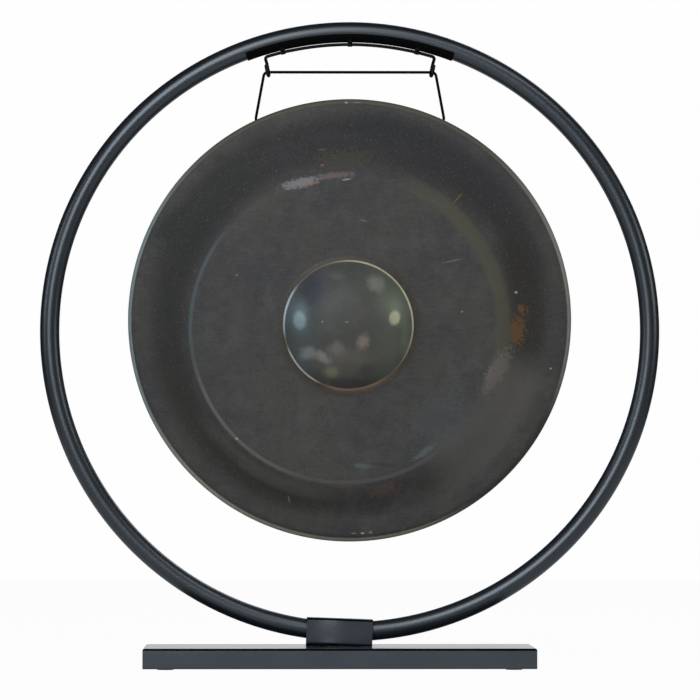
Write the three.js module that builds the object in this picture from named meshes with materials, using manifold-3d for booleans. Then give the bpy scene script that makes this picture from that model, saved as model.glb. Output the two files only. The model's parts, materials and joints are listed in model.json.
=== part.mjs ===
import * as THREE from "three";
import { mergeVertices } from "three/addons/utils/BufferGeometryUtils.js";
import Module from "manifold-3d";

// A table-top gong stand: a hoop of tube held in a sleeve on a folded base, with a bossed gong hung inside it.
// Millimetres, +Z up, the front at -Y. The origin is on the table, below the middle of the hoop.

const wasm = await Module();
wasm.setup();
const { degToRad, lerp, smoothstep } = THREE.MathUtils;

// Fits
const seatGap = 0.3; // between pieces that rest on each other
const overrun = 4; // how far a cutter runs past the wall that it cuts
const weld = 1e-4; // vertices closer than this are one

// Hoop
const hoopRadius = 295.5; // of the tube's centreline
const tubeDiameter = 19.05;
const tubeWall = 1.5;
const tubeEndGap = 1; // between the tube's two ends, inside the sleeve
const lean = degToRad(2); // the hoop and its sleeve stand this much out of true, towards +X
const ringSag = 0.24; // how far a facet of the ring may lie inside its true circle
const tubeSides = 12;

// Base: a sheet folded down on four sides, with lips folded in at the front and the back
const trayLength = 383;
const trayDepth = 150;
const trayHeight = 20;
const traySheet = 1.5;
const trayInnerBend = 0.5; // inside radius of its folds
const trayLip = 24;
const footDiameter = 16;
const footHeight = 0.5;
const footInset = 22; // of a foot's middle from the tray's end

// Sleeve: square tube round the foot of the hoop, on a rubber pad that the lean squeezes to a wedge
const sleeveLength = 65;
const sleeveSide = 25.4;
const sleeveWall = 1.2;
const sleeveInnerCorner = 1.2;
const wedgeLeast = 0.4; // thickness of the pad at its squeezed end
const wedgeInset = 1.5; // of the pad from the front and back of the sleeve

// Spigot inside the tube, and the bolts that hold it down
const spigotLength = 60;
const spigotClearance = 0.5;
const spigotSteps = 8;
const boltDiameter = 6;
const boltSpacing = 32;
const boltReach = 9; // of its thread into the spigot
const boltHeadDiameter = 10.5;
const boltHeadHeight = 3.3;
const boltSocket = 4; // across the corners of its hexagon
const boltSocketDepth = 2;
const boltPoint = 1; // length of the chamfer at its end
const boltClearance = 0.5; // round the shank
const boltDomeShares = [[0.55, 1], [0.85, 0.7], [1, 0.2]]; // of the head's radius and height
const washerDiameter = 12;
const washerThickness = 1.6;

// Hanger: a thin pad under the top of the hoop, and a stiff wire along it with a hook at each end
const padOverhang = 17.6; // past the corners of the wire
const padWrap = degToRad(71); // round the tube, to each side of its underside
const padThickness = 0.8;
const padSteps = 10;
const wireDiameter = 3.2;
const wireStandoff = 0.4; // slit between wire and pad, from side clip to side clip
const wireRise = 6; // length over which the wire comes up to the pad
const hookDrop = 40; // from the tube's centreline to the line of the cord
const hookLean = degToRad(11); // of the hooks, their feet turned in
const hookTurn = degToRad(12); // of the hooks about their shanks
const hookCornerBend = 2.6;
const hookShankBend = 6;
const hookShankShare = 0.52; // height of the shank's bend, of the way from the cord up to the wire's corner
const hookTipShare = 0.51; // height of the tip, of the same way
const hookCornerLead = 4; // where the wire leaves its circle, before its corner
const hookClearance = 0.7; // round the cord, in the hook's bight
const wireSteps = 124;
const wireSides = 6;
const wireArcPoints = 16;

// Clips that hold the wire, each with two screws
const clipInset = 19.3; // of the side clips, from the corners of the wire
const clipWidth = 4.5;
const clipThickness = 1;
const clipWall = 0.35; // under the wire
const clipEar = degToRad(50); // round the tube, to each side
const screwAngle = degToRad(35);
const screwDiameter = 2.2;
const screwLength = 6;
const screwClearance = 0.3;
const screwPoint = 1.1;
const screwHeadDiameter = 4;
const screwHeadHeight = 1.4;
const screwHeadShares = [[1, 0.4], [0.7, 1]]; // of the head's radius and height
const screwSides = 10;

// Gong
const gongSideGap = 67.2; // between its rim and the hoop
const gongTopGap = 28.3; // between its rim and the line of the cord
const gongWall = 2;
const bossDiameter = 129;
const bossHeight = 29;
const bossFillet = 3;
const bossFullness = 2.6; // exponent of its curve: a higher one is flatter on top
const bossOffset = [-1.7, -2.8]; // the boss and the shoulder are beaten a little out of the middle
const shoulderOffset = [-5, -6.8];
const shoulderRun = 47.3; // width of the fall outside the plateau
const shoulderDrop = 13;
const outerWidth = 14.5; // of the outer zone, between the fall and the rim's bend
const outerDrop = 3; // of the slope from the plateau's edge to the rim, besides the fall
const rimBend = 9;
const rimDepth = 40;
const rimDraw = 8; // how much smaller its back edge is, in radius
const gongSegments = 60;
const bossShares = [0, 0.3, 0.52, 0.7, 0.84, 0.94, 1, 1.06, 1.16]; // of the boss's radius
const shoulderShares = [0, 0.2, 0.4, 0.6, 0.8, 1]; // of the fall's width
const rimBendShares = [0.25, 0.5, 0.75, 1]; // of its quarter turn

// Cord: from a knot behind the rim over both hooks to the other knot
const cordDiameter = 2.8;
const cordBend = 4.4;
const cordPast = 3.5; // how far past a hook its corner would lie if it were sharp
const cordSteps = 64;
const cordSides = 8;
const holeAngle = degToRad(25); // of the rim's holes, from its top
const holeSpread = 11.6; // how far the cord spreads on each side between hook and hole
const holeClearance = 0.9; // round the cord
const holeInset = 5; // of the holes behind the rim's bend
const knotDiameter = 7.2;
const knotSides = 10;
const routeArcSteps = 5;
const roundSides = 16;

// Worked out from the sizes above
const tubeRadius = tubeDiameter / 2;
const cordRadius = cordDiameter / 2;
const wireRadius = wireDiameter / 2;
const hoopSteps = Math.ceil(Math.PI / Math.acos(1 - ringSag / hoopRadius));
const trayBend = traySheet + trayInnerBend;
const trayBottom = footHeight + seatGap;
const trayTop = trayBottom + trayHeight;
const tubeInner = Math.sqrt((hoopRadius - tubeRadius) ** 2 - (sleeveLength / 2) ** 2); // at the sleeve's ends
const sleeveFoot = seatGap + sleeveWall - tubeInner - sleeveSide; // in the leaning frame, round the hoop's centre
const wedgeFoot = trayTop + seatGap;
const hoopCentre =
  wedgeFoot + wedgeLeast + seatGap + (sleeveLength / 2) * Math.sin(lean) - sleeveFoot * Math.cos(lean);
const trayMiddle = sleeveFoot * Math.sin(lean);
const boltHole = boltDiameter + 2 * boltClearance;
const boltTop = tubeWall + spigotClearance + boltReach - hoopRadius - tubeRadius; // in the leaning frame
const boltPlaces = [-boltSpacing / 2, boltSpacing / 2];
const gongRadius = hoopRadius - tubeRadius - gongSideGap;
const gongDrop = gongRadius + gongTopGap;
const rimStart = gongRadius - rimBend;
const fallEnd = rimStart - outerWidth;
const fallStart = fallEnd - shoulderRun;
const holeDiameter = cordDiameter + 2 * holeClearance;
const cordLine = hoopCentre + hoopRadius - hookDrop;
const hookHalfSpan = gongRadius * Math.sin(holeAngle) - holeSpread;

// The hanger, measured from the hoop's centre: its rings, the eye where the cord lies in a hook, and the angles
// from the top of the hoop to the wire's corners, the clips and the pad's ends.
const padRadius = tubeRadius + seatGap + padThickness; // round the tube's centreline
const wireSpanRadius = hoopRadius - padRadius - wireStandoff - wireRadius;
const wireEndRadius = hoopRadius - padRadius - seatGap - wireRadius;
const eye = new THREE.Vector3(-hookHalfSpan, 0, hoopRadius - hookDrop);
const shankUp = new THREE.Vector3(-Math.sin(hookLean), 0, Math.cos(hookLean));
const cornerHeight =
  Math.sqrt(eye.dot(shankUp) ** 2 - eye.lengthSq() + wireEndRadius ** 2) - eye.dot(shankUp);
const corner = eye.clone().addScaledVector(shankUp, cornerHeight);
const cornerAngle = Math.asin(-corner.x / wireEndRadius);
const padHalfAngle = cornerAngle + padOverhang / hoopRadius;
const clipAngle = cornerAngle - clipInset / hoopRadius;
const clipPlaces = [-clipAngle, 0, clipAngle];

const finishes = {
  powderBlack: { color: 0x33363c, roughness: 0.42, metalness: 0.25 },
  powderSlate: { color: 0x42474d, roughness: 0.5, metalness: 0.2 },
  rubberBlack: { color: 0x0b0b0c, roughness: 0.95, metalness: 0 },
  wireBlack: { color: 0x141519, roughness: 0.5, metalness: 0.6 },
  zincSteel: { color: 0x9a9c9e, roughness: 0.35, metalness: 0.9 },
  darkBronze: { color: 0x4a4843, roughness: 0.4, metalness: 0.75 },
  cordBlack: { color: 0x0a0a0a, roughness: 0.9, metalness: 0 },
};

// A closed geometry as a body that can be cut and joined.
function bodyOf(geometry) {
  const bare = geometry.clone();
  bare.deleteAttribute("normal");
  bare.deleteAttribute("uv");
  const merged = mergeVertices(bare, weld);
  const triVerts = new Uint32Array(merged.index.array);
  const vertProperties = merged.attributes.position.array;
  return new wasm.Manifold(new wasm.Mesh({ numProp: 3, vertProperties, triVerts }));
}

function geometryOf(body) {
  const { vertProperties, triVerts } = body.getMesh();
  const geometry = new THREE.BufferGeometry();
  geometry.setAttribute("position", new THREE.BufferAttribute(vertProperties, 3));
  geometry.setIndex(new THREE.BufferAttribute(triVerts, 1));
  geometry.computeVertexNormals();
  return geometry;
}

const cut = (geometry, cutters) =>
  geometryOf(cutters.reduce((body, cutter) => body.subtract(bodyOf(cutter)), bodyOf(geometry)));
const join = (geometry, others) =>
  geometryOf(others.reduce((body, other) => body.add(bodyOf(other)), bodyOf(geometry)));
const common = (geometry, other) => geometryOf(bodyOf(geometry).intersect(bodyOf(other)));

function named(name, geometry, finish) {
  const mesh = new THREE.Mesh(geometry, new THREE.MeshStandardMaterial(finishes[finish]));
  mesh.name = name;
  return mesh;
}

// A round rod from one point to another.
function rod(from, to, diameter, sides = roundSides) {
  const axis = new THREE.Vector3().subVectors(to, from);
  const length = axis.length();
  const turn = new THREE.Quaternion().setFromUnitVectors(new THREE.Vector3(0, 1, 0), axis.normalize());
  return new THREE.CylinderGeometry(diameter / 2, diameter / 2, length, sides)
    .translate(0, length / 2, 0)
    .applyQuaternion(turn)
    .translate(from.x, from.y, from.z);
}

// A lathe profile of [radius, height] pairs, turned round Z.
const turned = (profile, segments) =>
  new THREE.LatheGeometry(profile.map(([r, h]) => new THREE.Vector2(r, h)), segments).rotateX(Math.PI / 2);

// A shape drawn in Y and Z, extruded along X and centred.
const alongX = (shape, length) =>
  new THREE.ExtrudeGeometry(shape, { depth: length, bevelEnabled: false, curveSegments: 4 })
    .translate(0, 0, -length / 2)
    .rotateX(Math.PI / 2)
    .rotateZ(Math.PI / 2);

// A shape drawn in X and Z, extruded along Y and centred.
const alongY = (shape, length) =>
  new THREE.ExtrudeGeometry(shape, { depth: length, bevelEnabled: false, curveSegments: 4 })
    .translate(0, 0, -length / 2)
    .rotateX(Math.PI / 2);

// A rectangle centred across and standing on zero, its lower and upper corners rounded.
function plate(width, height, lowerRadius, upperRadius) {
  const shape = new THREE.Shape();
  const half = width / 2;
  shape.moveTo(lowerRadius - half, 0);
  shape.lineTo(half - lowerRadius, 0);
  if (lowerRadius) shape.absarc(half - lowerRadius, lowerRadius, lowerRadius, -Math.PI / 2, 0);
  if (upperRadius) shape.absarc(half - upperRadius, height - upperRadius, upperRadius, 0, Math.PI / 2);
  else shape.lineTo(half, height);
  if (upperRadius) shape.absarc(upperRadius - half, height - upperRadius, upperRadius, Math.PI / 2, Math.PI);
  else shape.lineTo(-half, height);
  if (lowerRadius) shape.absarc(lowerRadius - half, lowerRadius, lowerRadius, Math.PI, 1.5 * Math.PI);
  shape.closePath();
  return shape;
}

const polygon = (radius, sides) =>
  Array.from({ length: sides }, (_, i) => {
    const angle = ((i + 0.5) / sides) * 2 * Math.PI;
    return new THREE.Vector2(radius * Math.cos(angle), radius * Math.sin(angle));
  });

// A stretch of a circle round Y, its angles counted from the top towards +X.
class RingArc extends THREE.Curve {
  constructor(radius, from, to) {
    super();
    Object.assign(this, { radius, from, to });
  }
  getPoint(t, target = new THREE.Vector3()) {
    const angle = lerp(this.from, this.to, t);
    return target.set(this.radius * Math.sin(angle), 0, this.radius * Math.cos(angle));
  }
}

// A section carried along a curve. On a RingArc its x points to -Y and its y to the centre.
const swept = (section, path, steps) =>
  new THREE.ExtrudeGeometry(section, { steps, extrudePath: path, bevelEnabled: false });

// Points along straight runs whose corners are rounded: each corner is [point, radius].
function roundedRoute(corners) {
  const route = [corners[0][0]];
  for (let i = 1; i < corners.length - 1; i++) {
    const [corner, radius] = corners[i];
    const back = new THREE.Vector3().subVectors(corners[i - 1][0], corner).normalize();
    const ahead = new THREE.Vector3().subVectors(corners[i + 1][0], corner).normalize();
    const half = back.angleTo(ahead) / 2;
    const inward = new THREE.Vector3().addVectors(back, ahead).normalize();
    const centre = corner.clone().addScaledVector(inward, radius / Math.sin(half));
    const start = corner.clone().addScaledVector(back, radius / Math.tan(half)).sub(centre);
    const axis = new THREE.Vector3().crossVectors(ahead, back).normalize();
    for (let k = 0; k <= routeArcSteps; k++) {
      const turn = (k / routeArcSteps) * (Math.PI - 2 * half);
      route.push(start.clone().applyAxisAngle(axis, turn).add(centre));
    }
  }
  return [...route, corners[corners.length - 1][0]];
}

const mirrored = (points) => points.map((p) => new THREE.Vector3(-p.x, p.y, p.z));

// A round tube or cord along a route that is the same on both sides: the points run from the middle to the left.
function symmetricRod(halfRoute, radius, sides, steps) {
  const route = [...[...halfRoute].reverse(), ...mirrored(halfRoute).slice(1)];
  const path = new THREE.CatmullRomCurve3(route, false, "centripetal");
  return swept(new THREE.Shape(polygon(radius, sides)), path, steps);
}

// The point where a body of even density balances.
function balancePoint(geometry) {
  const flat = geometry.index ? geometry.toNonIndexed() : geometry;
  const position = flat.getAttribute("position");
  const [a, b, c] = [new THREE.Vector3(), new THREE.Vector3(), new THREE.Vector3()];
  const sum = new THREE.Vector3();
  let volume = 0;
  for (let i = 0; i < position.count; i += 3) {
    a.fromBufferAttribute(position, i);
    b.fromBufferAttribute(position, i + 1);
    c.fromBufferAttribute(position, i + 2);
    const part = a.dot(new THREE.Vector3().crossVectors(b, c));
    volume += part;
    sum.addScaledVector(a.add(b).add(c), part / 4);
  }
  return sum.divideScalar(volume);
}

// Height in the leaning frame of a level plane, at a place along that frame's x.
const levelInLean = (height, x) => (height - hoopCentre + x * Math.sin(lean)) / Math.cos(lean);

// Where a bolt that stands at x in the leaning frame passes through the tray's top sheet.
function boltInTray(x) {
  const z = levelInLean(trayTop - traySheet / 2, x);
  return x * Math.cos(lean) + z * Math.sin(lean);
}

function baseTray() {
  const outside = common(
    alongX(plate(trayDepth, trayHeight, trayBend, trayBend), trayLength),
    alongY(plate(trayLength, trayHeight, 0, trayBend), trayDepth),
  );
  const innerLength = trayLength - 2 * traySheet;
  const innerDepth = trayDepth - 2 * traySheet;
  const section = plate(innerDepth, trayHeight - 2 * traySheet, trayInnerBend, trayInnerBend);
  const hollow = alongX(section, innerLength).translate(0, 0, traySheet);
  const mouth = new THREE.BoxGeometry(innerLength, trayDepth - 2 * trayLip, 2 * trayBend);
  const holes = boltPlaces.map((x) => {
    const across = boltInTray(x) - trayMiddle;
    return rod(
      new THREE.Vector3(across, 0, trayHeight / 2),
      new THREE.Vector3(across, 0, trayHeight + overrun),
      boltHole,
    );
  });
  const tray = named("base_tray", cut(outside, [hollow, mouth, ...holes]), "powderSlate");
  tray.position.set(trayMiddle, 0, trayBottom);
  return tray;
}

function feet() {
  const group = new THREE.Group();
  let count = 0;
  for (const side of [-1, 1])
    for (const end of [-1, 1]) {
      count += 1;
      const disc = rod(new THREE.Vector3(), new THREE.Vector3(0, 0, footHeight), footDiameter);
      const foot = named(`foot_${count}`, disc, "rubberBlack");
      foot.position.set(
        trayMiddle + end * (trayLength / 2 - footInset),
        side * (trayDepth / 2 - trayLip / 2),
        0,
      );
      group.add(foot);
    }
  return group;
}

function hoopSleeve() {
  const outerCorner = sleeveWall + sleeveInnerCorner;
  const outside = alongX(plate(sleeveSide, sleeveSide, outerCorner, outerCorner), sleeveLength);
  const boreSide = sleeveSide - 2 * sleeveWall;
  const bore = alongX(
    plate(boreSide, boreSide, sleeveInnerCorner, sleeveInnerCorner),
    sleeveLength + 2 * overrun,
  ).translate(0, 0, sleeveWall);
  const body = cut(outside, [bore]).translate(0, 0, sleeveFoot);
  return named("hoop_sleeve", cut(body, boltCutters()), "powderSlate");
}

function sleeveWedge() {
  const end = sleeveLength / 2;
  const section = new THREE.Shape([
    new THREE.Vector2(-end, levelInLean(wedgeFoot, -end)),
    new THREE.Vector2(end, levelInLean(wedgeFoot, end)),
    new THREE.Vector2(end, sleeveFoot - seatGap),
    new THREE.Vector2(-end, sleeveFoot - seatGap),
  ]);
  const slab = alongY(section, sleeveSide - 2 * wedgeInset);
  return named("sleeve_wedge", cut(slab, boltCutters()), "rubberBlack");
}

// The bolt holes from below the wedge up into the spigot, in the leaning frame.
const boltCutters = () =>
  boltPlaces.map((x) =>
    rod(
      new THREE.Vector3(x, 0, levelInLean(trayTop, x) - overrun),
      new THREE.Vector3(x, 0, boltTop + seatGap),
      boltHole,
    ),
  );

function hoopTube() {
  const section = new THREE.Shape(polygon(tubeRadius, tubeSides));
  section.holes.push(new THREE.Path(polygon(tubeRadius - tubeWall, tubeSides)));
  const endAngle = Math.PI - tubeEndGap / 2 / hoopRadius;
  const ring = swept(section, new RingArc(hoopRadius, -endAngle, endAngle), hoopSteps);
  const screwCutters = clipPlaces.flatMap((angle) =>
    screwsIn(angle - lean, screwDiameter + 2 * screwClearance, tubeWall + overrun, overrun),
  );
  return named("hoop_tube", cut(ring, [...boltCutters(), ...screwCutters]), "powderBlack");
}

function hoopSpigot() {
  const half = spigotLength / 2 / hoopRadius;
  const section = new THREE.Shape(polygon(tubeRadius - tubeWall - spigotClearance, tubeSides));
  const rodArc = swept(section, new RingArc(hoopRadius, Math.PI - half, Math.PI + half), spigotSteps);
  return named("hoop_spigot", cut(rodArc, boltCutters()), "zincSteel");
}

function baseBolt(name, x) {
  const under = levelInLean(trayTop - traySheet, x) - (washerDiameter / 2) * Math.tan(lean) - seatGap;
  const headTop = under - washerThickness - seatGap;
  const shank = boltDiameter / 2;
  const head = boltHeadDiameter / 2;
  const end = boltTop - headTop;
  const dome = turned(
    [
      [0, -boltHeadHeight],
      ...boltDomeShares.map(([across, high]) => [head * across, -boltHeadHeight * high]),
      [head, 0],
      [shank, 0],
      [shank, end - boltPoint],
      [shank - boltPoint, end],
      [0, end],
    ],
    roundSides,
  );
  const socket = rod(
    new THREE.Vector3(0, 0, -boltHeadHeight - overrun),
    new THREE.Vector3(0, 0, boltSocketDepth - boltHeadHeight),
    boltSocket,
    6,
  );
  const bolt = named(name, cut(dome, [socket]), "zincSteel");
  bolt.position.set(x, 0, headTop);
  return { bolt, under };
}

function baseFasteners() {
  const group = new THREE.Group();
  boltPlaces.forEach((x, i) => {
    const side = ["left", "right"][i];
    const { bolt, under } = baseBolt(`base_bolt_${side}`, x);
    const ring = turned(
      [
        [boltHole / 2, 0],
        [washerDiameter / 2, 0],
        [washerDiameter / 2, washerThickness],
        [boltHole / 2, washerThickness],
        [boltHole / 2, 0],
      ],
      roundSides,
    );
    const washer = named(`base_washer_${side}`, ring, "zincSteel");
    washer.position.set(x, 0, under - washerThickness);
    group.add(bolt, washer);
  });
  return group;
}

// The wire's distance from the hoop's centre: clear of the pad, then up to it before the side clips.
function wireRing(angle) {
  const riseEnd = clipAngle - clipWidth / hoopRadius;
  const rise = smoothstep(Math.abs(angle), riseEnd - wireRise / hoopRadius, riseEnd);
  return lerp(wireSpanRadius, wireEndRadius, rise);
}

// Rods along the axes of one clip's two screws, from inside the tube's surface to outside the clip.
function screwsIn(clip, diameter, inwards, outwards) {
  return [-screwAngle, screwAngle].map((side) => {
    const ray = (distance) =>
      new THREE.Vector3(0, distance * Math.sin(side), hoopRadius - distance * Math.cos(side));
    return rod(ray(tubeRadius - inwards), ray(padRadius + outwards), diameter, screwSides).rotateY(clip);
  });
}

function hangerPad() {
  const section = new THREE.Shape();
  section.absarc(0, 0, padRadius, Math.PI / 2 - padWrap, Math.PI / 2 + padWrap);
  section.absarc(0, 0, tubeRadius + seatGap, Math.PI / 2 + padWrap, Math.PI / 2 - padWrap, true);
  section.closePath();
  const strip = new THREE.ExtrudeGeometry(section, {
    steps: padSteps,
    extrudePath: new RingArc(hoopRadius, -padHalfAngle, padHalfAngle),
    bevelEnabled: false,
    curveSegments: 5,
  });
  const holes = clipPlaces.flatMap((clip) =>
    screwsIn(clip, screwDiameter + 2 * screwClearance, tubeWall, overrun),
  );
  return named("hanger_pad", cut(strip, holes), "rubberBlack");
}

// One clip: ears that follow the pad and a hump round the wire, drawn across the tube's section.
function hangerClip(name, clip) {
  const seat = padRadius + seatGap;
  const outer = seat + clipThickness;
  const wireDepth = hoopRadius - wireRing(clip);
  const hump = wireRadius + seatGap + clipWall;
  const flank = Math.asin(hump / outer);
  const down = -Math.PI / 2;
  const section = new THREE.Shape();
  section.absarc(0, 0, outer, down - clipEar, down - flank);
  section.lineTo(-hump, -wireDepth);
  section.absarc(0, -wireDepth, hump, Math.PI, 2 * Math.PI);
  section.absarc(0, 0, outer, down + flank, down + clipEar);
  section.absarc(0, 0, seat, down + clipEar, down - clipEar, true);
  section.closePath();
  const body = alongX(section, clipWidth).translate(0, 0, hoopRadius);
  const reach = clipWidth / 2 + overrun;
  const channel = rod(
    new THREE.Vector3(-reach, 0, wireRing(clip)),
    new THREE.Vector3(reach, 0, wireRing(clip)),
    wireDiameter + 2 * seatGap,
  );
  const holes = screwsIn(0, screwDiameter + 2 * screwClearance, 0, overrun);
  const mesh = named(name, cut(body, [channel, ...holes]), "wireBlack");
  mesh.rotation.y = clip;
  return mesh;
}

function clipScrews() {
  const group = new THREE.Group();
  const shank = screwDiameter / 2;
  const head = screwHeadDiameter / 2;
  let count = 0;
  for (const clip of clipPlaces)
    for (const side of [-screwAngle, screwAngle]) {
      count += 1;
      const profile = [
        [0, 0],
        [shank, screwPoint],
        [shank, screwLength],
        [head, screwLength],
        ...screwHeadShares.map(([across, high]) => [head * across, screwLength + screwHeadHeight * high]),
        [0, screwLength + screwHeadHeight],
      ];
      const screw = named(`clip_screw_${count}`, turned(profile, screwSides), "wireBlack");
      const seat = padRadius + seatGap + clipThickness + seatGap;
      screw.position.set(0, 0, screwLength - seat);
      screw.rotation.x = Math.PI;
      const round = new THREE.Group();
      round.add(screw);
      round.position.z = hoopRadius;
      round.rotation.x = side;
      const along = new THREE.Group();
      along.add(round);
      along.rotation.y = clip;
      group.add(along);
    }
  return group;
}

// The wire from its middle to the tip of the left hook. The shank runs down behind the cord, and the tip
// stands before it.
function hangerWire() {
  const behind = new THREE.Vector3(Math.sin(hookTurn), Math.cos(hookTurn), 0);
  const bight = cordRadius + hookClearance + wireRadius;
  const at = (back, up) => eye.clone().addScaledVector(behind, back).addScaledVector(shankUp, up);
  const lastAngle = cornerAngle - hookCornerLead / hoopRadius;
  const arc = Array.from({ length: wireArcPoints + 1 }, (_, i) => {
    const angle = (i / wireArcPoints) * lastAngle;
    const ring = wireRing(angle);
    return new THREE.Vector3(-ring * Math.sin(angle), 0, ring * Math.cos(angle));
  });
  const hook = roundedRoute([
    [arc[wireArcPoints], 0],
    [corner, hookCornerBend],
    [at(bight, cornerHeight * hookShankShare), hookShankBend],
    [at(bight, -bight), bight],
    [at(-bight, -bight), bight],
    [at(-bight, cornerHeight * hookTipShare), 0],
  ]);
  const halfRoute = [...arc, ...hook.slice(1)];
  return named("hanger_wire", symmetricRod(halfRoute, wireRadius, wireSides, wireSteps), "wireBlack");
}

// The gong's front as [radius, depth] pairs from its middle to its back edge. Depth grows to the back.
function faceDepth(radius) {
  const share = radius / (bossDiameter / 2);
  const dome = bossHeight * (1 - share ** bossFullness);
  const boss = (dome + Math.sqrt(dome ** 2 + bossFillet ** 2)) / 2;
  const outer = Math.max(0, (radius - fallStart) / (rimStart - fallStart)) * outerDrop;
  return shoulderDrop * smoothstep(radius, fallStart, fallEnd) + outer - boss;
}

function gongFace() {
  const rings = [
    ...bossShares.map((share) => (share * bossDiameter) / 2),
    (bossDiameter / 2 + fallStart) / 2,
    ...shoulderShares.map((share) => fallStart + share * shoulderRun),
    rimStart,
  ];
  const face = rings.map((radius) => [radius, faceDepth(radius)]);
  const edge = faceDepth(rimStart);
  for (const share of rimBendShares) {
    const angle = (share * Math.PI) / 2;
    face.push([rimStart + rimBend * Math.sin(angle), edge + rimBend * (1 - Math.cos(angle))]);
  }
  face.push([gongRadius - rimDraw, edge + rimDepth]);
  return face;
}

// The same line moved to the gong's inner side by the thickness of the wall.
function gongInside(face) {
  return face.map(([radius, depth], i) => {
    const [r0, d0] = i ? face[i - 1] : [-face[1][0], face[1][1]];
    const [r1, d1] = i < face.length - 1 ? face[i + 1] : [radius, depth];
    const length = Math.hypot(r1 - r0, d1 - d0);
    return [radius - (gongWall * (d1 - d0)) / length, depth + (gongWall * (r1 - r0)) / length];
  });
}

// How far out of the middle the metal lies at a radius: the boss and the shoulder have their own middles.
function beatenOffset(radius, axis) {
  const bossEdge = (bossDiameter / 2) * bossShares[bossShares.length - 1];
  if (radius < fallStart)
    return lerp(bossOffset[axis], shoulderOffset[axis], smoothstep(radius, bossEdge, fallStart));
  return shoulderOffset[axis] * (1 - smoothstep(radius, fallStart, rimStart));
}

function rimHole(side) {
  const face = gongFace();
  const [backRadius, backDepth] = face[face.length - 1];
  const [bendRadius, bendDepth] = face[face.length - 2];
  const share = holeInset / (backDepth - bendDepth);
  const radius = lerp(bendRadius, backRadius, share) - gongWall / 2;
  const depth = bendDepth + holeInset;
  const outward = new THREE.Vector3(side * Math.sin(holeAngle), 0, Math.cos(holeAngle));
  return { place: outward.clone().multiplyScalar(radius).setY(depth), outward };
}

function gongGeometry() {
  const face = gongFace();
  const outline = [...face, ...gongInside(face).reverse()];
  const points = outline.map(([r, d]) => new THREE.Vector2(Math.max(0, r), d));
  const shell = new THREE.LatheGeometry(points, gongSegments);
  const position = shell.getAttribute("position");
  for (let i = 0; i < position.count; i++) {
    const radius = Math.hypot(position.getX(i), position.getZ(i));
    position.setX(i, position.getX(i) + beatenOffset(radius, 0));
    position.setZ(i, position.getZ(i) + beatenOffset(radius, 1));
  }
  const holes = [-1, 1].map((side) => {
    const { place, outward } = rimHole(side);
    const reach = gongWall + overrun;
    return rod(
      place.clone().addScaledVector(outward, -reach),
      place.clone().addScaledVector(outward, reach),
      holeDiameter,
    );
  });
  return cut(shell, holes);
}

// The gong hangs plumb: its holes and its balance point both lie below the line of the cord.
function hangGong() {
  const geometry = gongGeometry();
  const balance = balancePoint(geometry);
  const hole = rimHole(1).place;
  const tilt = Math.atan2(hole.y - balance.y, hole.z - balance.z);
  const gong = named("gong", geometry, "darkBronze");
  gong.rotation.x = tilt;
  gong.position.set(0, hole.z * Math.sin(tilt) - hole.y * Math.cos(tilt), cordLine - gongDrop);
  gong.updateMatrixWorld();
  return gong;
}

// The cord from the middle of its level run to the knot inside the left of the rim.
function gongCord(gong) {
  const { place, outward } = rimHole(-1);
  const hole = gong.localToWorld(place.clone());
  const out = outward.transformDirection(gong.matrixWorld);
  const knot = hole.clone().addScaledVector(out, -(gongWall / 2 + seatGap + knotDiameter / 2));
  const mouth = hole.clone().addScaledVector(out, gongWall / 2 + cordBend / 2);
  const halfRoute = roundedRoute([
    [new THREE.Vector3(0, 0, cordLine), 0],
    [new THREE.Vector3(-hookHalfSpan - cordPast, 0, cordLine), cordBend],
    [mouth, cordBend],
    [knot, 0],
  ]);
  const cord = symmetricRod(halfRoute, cordRadius, cordSides, cordSteps);
  const ball = new THREE.SphereGeometry(knotDiameter / 2, knotSides, knotSides);
  const balls = [knot, ...mirrored([knot])].map((at) => ball.clone().translate(at.x, at.y, at.z));
  return named("gong_cord", join(cord, balls), "cordBlack");
}

const stand = new THREE.Group();
stand.name = "gong_stand";
stand.add(baseTray(), feet());

const leaning = new THREE.Group();
leaning.position.z = hoopCentre;
leaning.rotation.y = lean;
leaning.add(sleeveWedge(), hoopSleeve(), hoopTube(), hoopSpigot(), baseFasteners());

const hanger = new THREE.Group();
hanger.position.z = hoopCentre;
const clipNames = ["hanger_clip_left", "hanger_clip_centre", "hanger_clip_right"];
hanger.add(hangerPad(), hangerWire(), clipScrews());
hanger.add(...clipPlaces.map((clip, i) => hangerClip(clipNames[i], clip)));

const gong = hangGong();
stand.add(leaning, hanger, gong, gongCord(gong));

export default stand;
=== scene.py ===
import json
import math

import bpy
import numpy as np
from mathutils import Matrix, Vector


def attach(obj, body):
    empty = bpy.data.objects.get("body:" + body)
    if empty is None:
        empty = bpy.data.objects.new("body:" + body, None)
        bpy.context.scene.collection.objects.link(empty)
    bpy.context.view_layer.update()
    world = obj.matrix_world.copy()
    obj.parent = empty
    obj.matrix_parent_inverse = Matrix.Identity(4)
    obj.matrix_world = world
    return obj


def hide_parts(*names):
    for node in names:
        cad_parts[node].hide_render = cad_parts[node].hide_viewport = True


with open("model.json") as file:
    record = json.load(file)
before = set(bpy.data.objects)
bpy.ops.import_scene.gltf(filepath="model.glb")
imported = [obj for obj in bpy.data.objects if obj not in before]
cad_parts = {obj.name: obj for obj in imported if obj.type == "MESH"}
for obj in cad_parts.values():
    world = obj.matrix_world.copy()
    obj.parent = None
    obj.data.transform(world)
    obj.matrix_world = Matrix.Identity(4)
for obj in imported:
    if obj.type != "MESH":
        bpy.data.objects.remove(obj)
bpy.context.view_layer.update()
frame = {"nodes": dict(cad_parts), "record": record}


# Camera

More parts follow.
